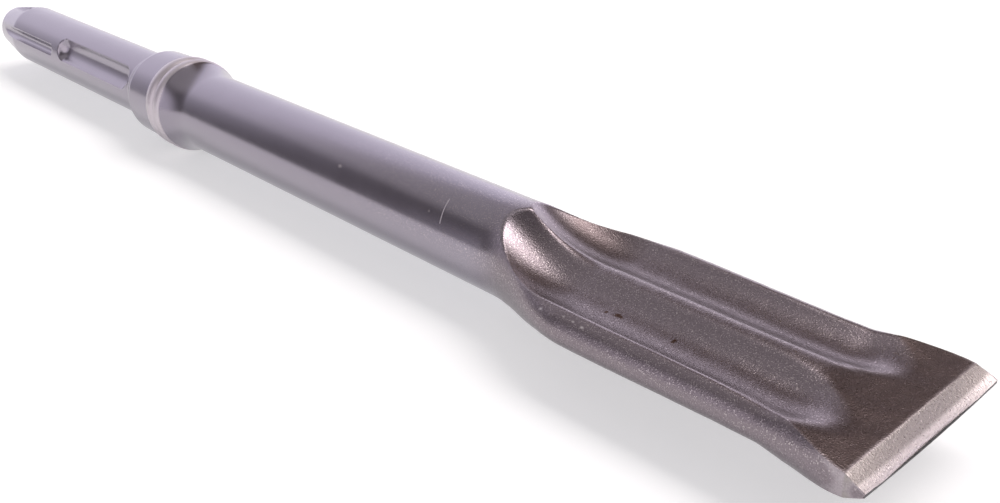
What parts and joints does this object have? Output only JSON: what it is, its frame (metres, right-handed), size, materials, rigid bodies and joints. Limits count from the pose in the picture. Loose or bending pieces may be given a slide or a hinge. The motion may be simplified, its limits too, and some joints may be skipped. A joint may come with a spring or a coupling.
{
  "type": "flat hammer chisel",
  "caption": "Flat forged chisel for an electric hammer: slotted round shank, beaded collar, round body and a fluted blade that tapers to a bevelled cutting edge.",
  "frame": {"origin": "centre of the shank's end face, on the tool's axis", "axes": "+X along the axis from the shank's end to the cutting edge, +Y across the blade, parallel to the edge, +Z the blade's upper normal as it lies flat"},
  "size_m": [0.3275, 0.0364, 0.0242],
  "materials": {
    "forged_steel": "blasted forged steel, satin on the shank and body, ground bright on the bevels"
  },
  "bodies": {
    "root": {"chisel": "forged_steel"}
  },
  "joints": []
}
